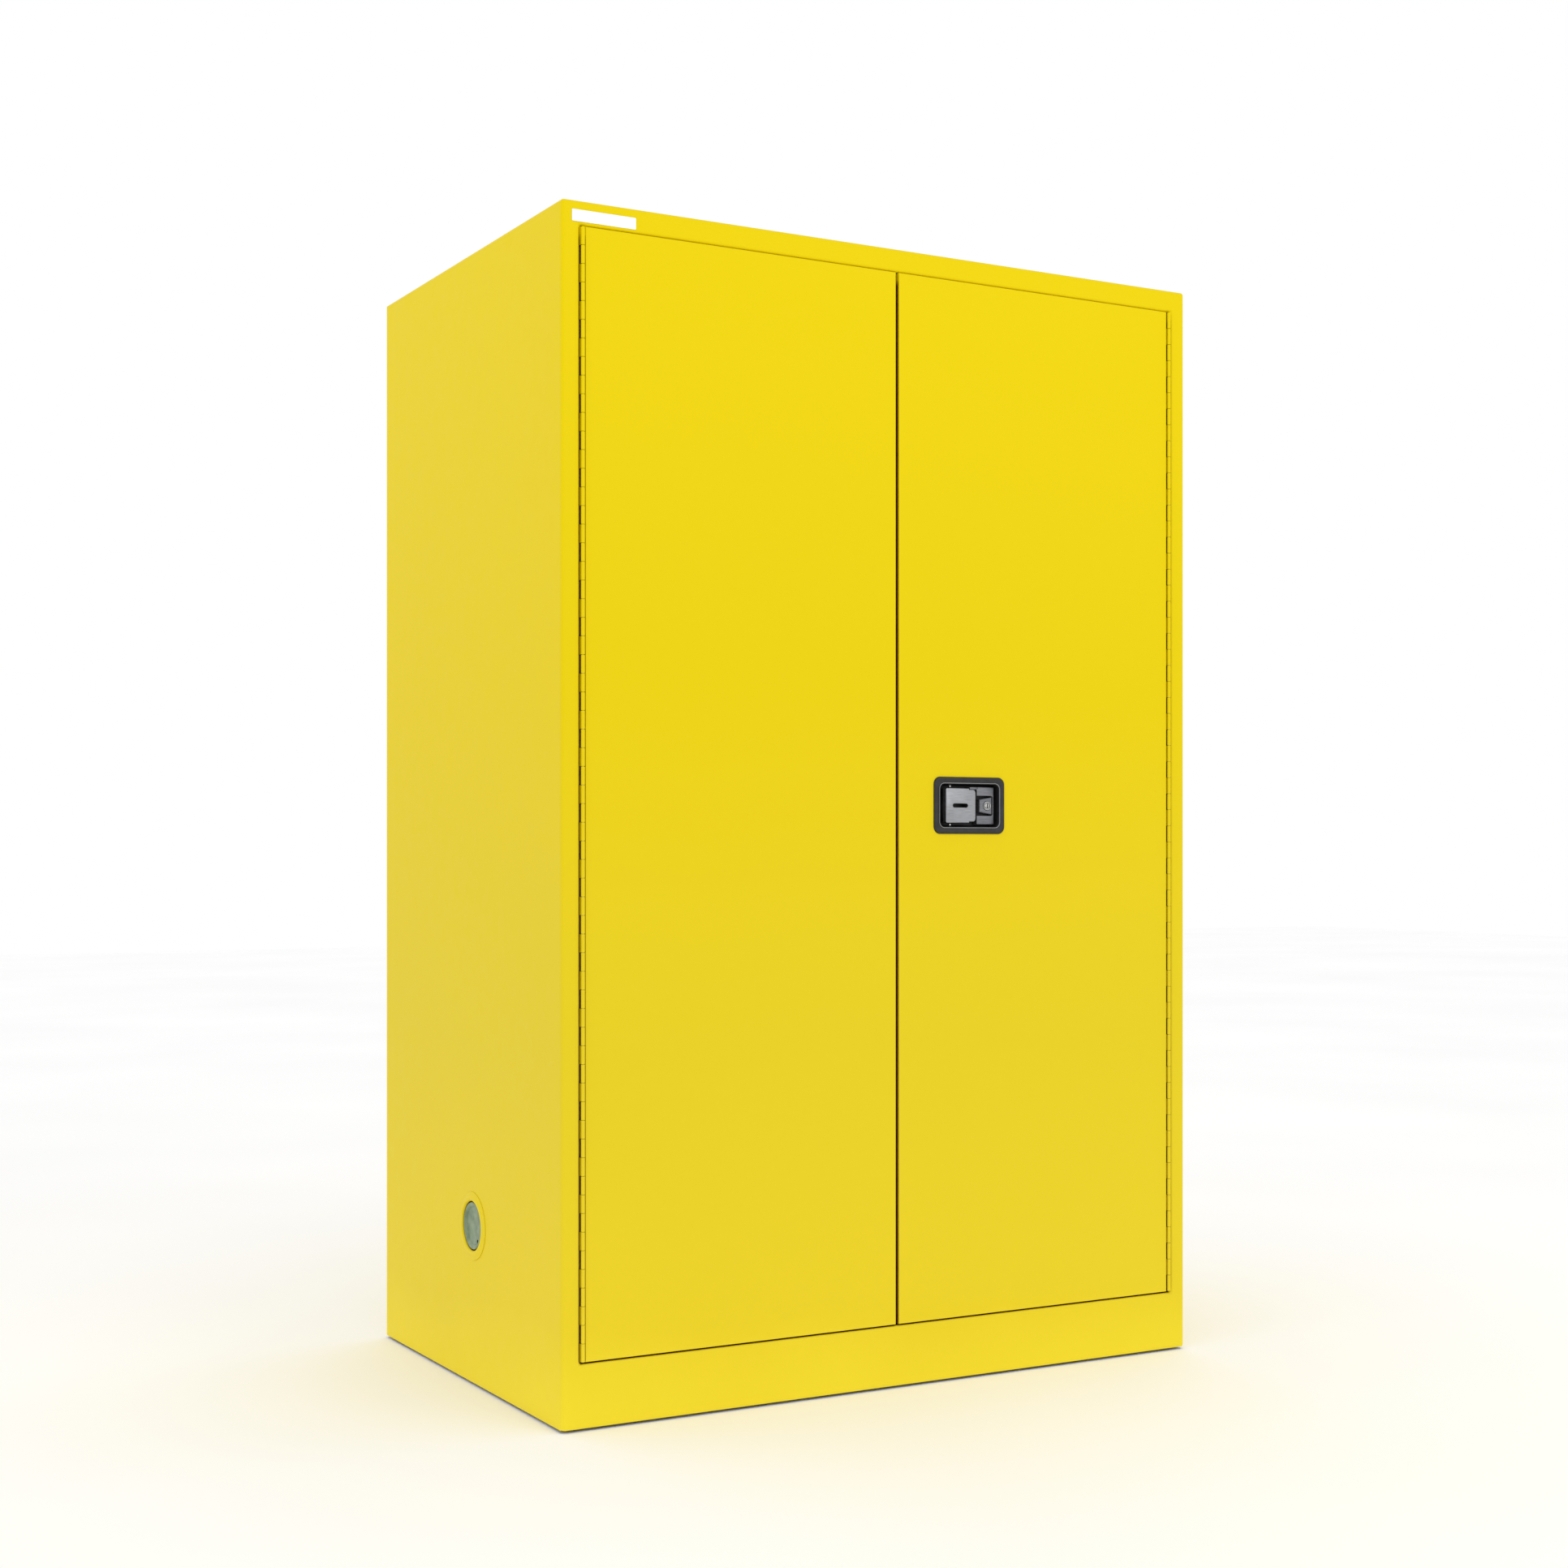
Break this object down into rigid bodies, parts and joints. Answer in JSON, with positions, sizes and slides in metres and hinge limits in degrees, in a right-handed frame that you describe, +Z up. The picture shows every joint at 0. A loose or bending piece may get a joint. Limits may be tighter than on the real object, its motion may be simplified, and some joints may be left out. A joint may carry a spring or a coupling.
{
  "type": "flammable storage cabinet",
  "caption": "Double-walled yellow steel safety cupboard with two hinged doors, a recessed paddle latch, side vents with bungs, lift-off shelves and a spill sump",
  "frame": {"origin": "on the floor, under the middle of the cabinet with its doors closed", "axes": "+X to the cabinet's right seen from the front, +Y from the doors to the back, +Z up"},
  "size_m": [1.0636, 0.7106, 1.65],
  "materials": {
    "yellow_paint": "smooth semi-gloss safety yellow powder coat",
    "galvanised_steel": "galvanised sheet",
    "black_coat": "satin black coating",
    "satin_steel": "satin nickel on die-cast metal",
    "plated_steel": "bright zinc plate",
    "plug_metal": "dull metal plug",
    "mesh_wire": "fine woven steel wire",
    "white_label": "blank white vinyl",
    "black_rubber": "moulded black rubber"
  },
  "bodies": {
    "cabinet": {"outer_left_side": "yellow_paint", "outer_right_side": "yellow_paint", "outer_top": "yellow_paint", "outer_back": "yellow_paint", "outer_base": "yellow_paint", "header_rail": "yellow_paint", "header_stop": "yellow_paint", "kick_plate": "yellow_paint", "sill_stop": "yellow_paint", "liner_left": "yellow_paint", "liner_right": "yellow_paint", "liner_back": "yellow_paint", "liner_top": "yellow_paint", "sump_pan": "yellow_paint", "shelf_standard_left_front": "galvanised_steel", "shelf_standard_left_rear": "galvanised_steel", "shelf_standard_right_front": "galvanised_steel", "shelf_standard_right_rear": "galvanised_steel", "shelf_hanger_1_left": "galvanised_steel", "shelf_hanger_1_right": "galvanised_steel", "shelf_hanger_2_left": "galvanised_steel", "shelf_hanger_2_right": "galvanised_steel", "vent_flange_left": "yellow_paint", "vent_flange_right": "yellow_paint", "flame_arrester_left": "mesh_wire", "flame_arrester_right": "mesh_wire", "ground_stud": "plated_steel", "ground_nut": "plated_steel", "label_plate": "white_label", "hinge_frame_leaf_left": "yellow_paint", "hinge_frame_leaf_right": "yellow_paint", "hinge_pin_left": "plated_steel", "hinge_pin_right": "plated_steel"},
    "door_left": {"door_left_skin": "yellow_paint", "door_left_liner": "yellow_paint", "astragal": "yellow_paint", "hinge_door_leaf_left": "yellow_paint"},
    "door_right": {"door_right_skin": "yellow_paint", "door_right_liner": "yellow_paint", "hinge_door_leaf_right": "yellow_paint", "latch_bezel": "black_coat", "latch_back_plate": "satin_steel", "lock_housing": "satin_steel", "paddle_pin": "plated_steel", "paddle_spring": "plated_steel", "cam_pivot": "plated_steel"},
    "paddle": {"paddle": "satin_steel"},
    "latch_cam": {"latch_cam": "plated_steel"},
    "top_rod": {"top_rod": "plated_steel"},
    "bottom_rod": {"bottom_rod": "plated_steel"},
    "centre_bolt": {"centre_bolt": "plated_steel"},
    "key_plug": {"key_plug": "plated_steel"},
    "vent_cap_left": {"vent_cap_left": "plug_metal"},
    "vent_cap_right": {"vent_cap_right": "plug_metal"},
    "shelf_1": {"shelf_1": "galvanised_steel"},
    "shelf_2": {"shelf_2": "galvanised_steel"},
    "levelling_foot_front_left": {"levelling_foot_front_left": "black_rubber"},
    "levelling_foot_front_right": {"levelling_foot_front_right": "black_rubber"},
    "levelling_foot_rear_left": {"levelling_foot_rear_left": "black_rubber"},
    "levelling_foot_rear_right": {"levelling_foot_rear_right": "black_rubber"}
  },
  "joints": [
    {"name": "door_left_hinge", "type": "hinge", "parent": "cabinet", "child": "door_left", "pos_m": [-0.4985, -0.35245, 0.85], "axis": [0, 0, -1], "range_deg": [0, 180]},
    {"name": "door_right_hinge", "type": "hinge", "parent": "cabinet", "child": "door_right", "pos_m": [0.4985, -0.35245, 0.85], "axis": [0, 0, 1], "range_deg": [0, 180]},
    {"name": "paddle_pull", "type": "hinge", "parent": "door_right", "child": "paddle", "pos_m": [0.0947, -0.34445, 0.845], "axis": [0, 0, -1], "range_deg": [0, 30], "stiffness_Nm_per_rad": 0.4, "springref_deg": -17.19},
    {"name": "cam_turn", "type": "hinge", "parent": "door_right", "child": "latch_cam", "pos_m": [0.1247, -0.32925, 0.845], "axis": [0, -1, 0], "range_deg": [0, 40.5]},
    {"name": "top_rod_slide", "type": "slide", "parent": "door_right", "child": "top_rod", "axis": [0, 0, -1], "range_m": [0, 0.0125]},
    {"name": "bottom_rod_slide", "type": "slide", "parent": "door_right", "child": "bottom_rod", "axis": [0, 0, 1], "range_m": [0, 0.0125]},
    {"name": "centre_bolt_slide", "type": "slide", "parent": "door_right", "child": "centre_bolt", "axis": [1, 0, 0], "range_m": [0, 0.0125]},
    {"name": "key_turn", "type": "hinge", "parent": "door_right", "child": "key_plug", "pos_m": [0.1615, -0.33975, 0.845], "axis": [0, -1, 0], "range_deg": [0, 90]},
    {"name": "vent_cap_left_out", "type": "slide", "parent": "cabinet", "child": "vent_cap_left", "axis": [-1, 0, 0], "range_m": [0, 0.05]},
    {"name": "vent_cap_right_out", "type": "slide", "parent": "cabinet", "child": "vent_cap_right", "axis": [1, 0, 0], "range_m": [0, 0.05]},
    {"name": "shelf_1_lift", "type": "slide", "parent": "cabinet", "child": "shelf_1", "axis": [0, 0, 1], "range_m": [0, 0.025]},
    {"name": "shelf_2_lift", "type": "slide", "parent": "cabinet", "child": "shelf_2", "axis": [0, 0, 1], "range_m": [0, 0.025]},
    {"name": "levelling_foot_front_left_screw", "type": "slide", "parent": "cabinet", "child": "levelling_foot_front_left", "axis": [0, 0, -1], "range_m": [0, 0.015]},
    {"name": "levelling_foot_front_right_screw", "type": "slide", "parent": "cabinet", "child": "levelling_foot_front_right", "axis": [0, 0, -1], "range_m": [0, 0.015]},
    {"name": "levelling_foot_rear_left_screw", "type": "slide", "parent": "cabinet", "child": "levelling_foot_rear_left", "axis": [0, 0, -1], "range_m": [0, 0.015]},
    {"name": "levelling_foot_rear_right_screw", "type": "slide", "parent": "cabinet", "child": "levelling_foot_rear_right", "axis": [0, 0, -1], "range_m": [0, 0.015]}
  ],
  "couplings": [
    {"joint": "cam_turn", "follows": "paddle_pull", "ratio": 1.3333},
    {"joint": "top_rod_slide", "follows": "paddle_pull", "m_per_rad": 0.023516},
    {"joint": "bottom_rod_slide", "follows": "paddle_pull", "m_per_rad": 0.023516},
    {"joint": "centre_bolt_slide", "follows": "paddle_pull", "m_per_rad": 0.023516}
  ]
}
